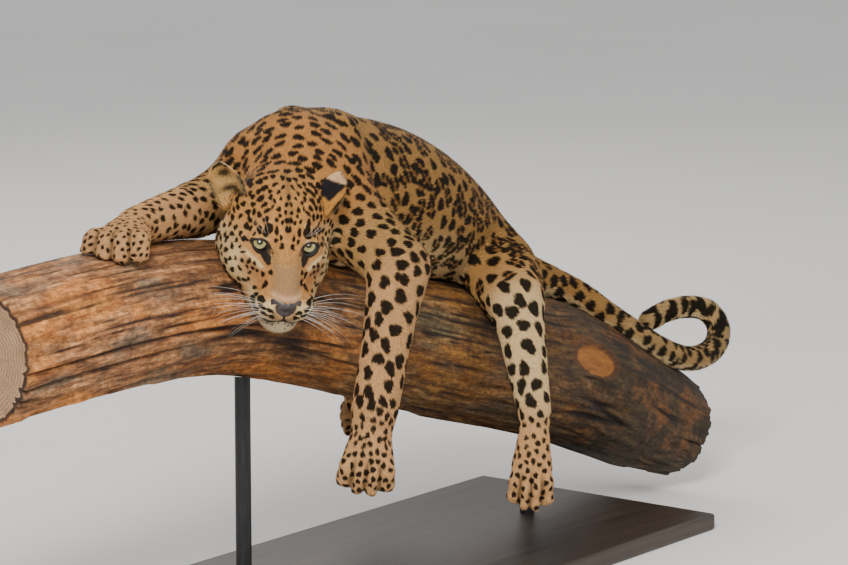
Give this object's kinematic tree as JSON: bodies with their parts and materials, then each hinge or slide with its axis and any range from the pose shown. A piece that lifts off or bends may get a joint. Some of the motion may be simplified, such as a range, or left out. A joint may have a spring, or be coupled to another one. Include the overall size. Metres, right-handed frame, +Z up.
{
  "type": "leopard",
  "caption": "Life-size still model of a leopard lying along a cut branch with its near legs hanging, its head turned to the side and its tail curled, on a display stand.",
  "frame": {"origin": "centre of the stand base's underside", "axes": "+Z up; the branch runs along X, the animal's head end is towards -X and its left side towards -Y"},
  "size_m": [2.0416, 0.5984, 0.837],
  "materials": {
    "coat": "short spotted fur",
    "eye": "clear glossy",
    "branch_wood": "weathered, barkless",
    "stand_metal": "matte black",
    "stand_wood": "dark satin",
    "nose": "fine grained, slightly moist",
    "whisker": "translucent hair",
    "claw": "horn"
  },
  "bodies": {
    "root": {"head": "coat", "neck": "coat", "torso": "coat", "ear_left": "coat", "ear_right": "coat", "eye_left": "eye", "eye_right": "eye", "foreleg_left_upper": "coat", "foreleg_left_forearm": "coat", "foreleg_left_paw": "coat", "foreleg_right_upper": "coat", "foreleg_right_forearm": "coat", "foreleg_right_paw": "coat", "hindleg_left_thigh": "coat", "hindleg_left_shank": "coat", "hindleg_left_foot": "coat", "hindleg_right_thigh": "coat", "hindleg_right_shank": "coat", "hindleg_right_foot": "coat", "tail_root": "coat", "tail_middle": "coat", "tail_tip": "coat", "branch": "branch_wood", "stand_base": "stand_wood", "stand_rod_front": "stand_metal", "stand_rod_rear": "stand_metal"}
  },
  "joints": []
}
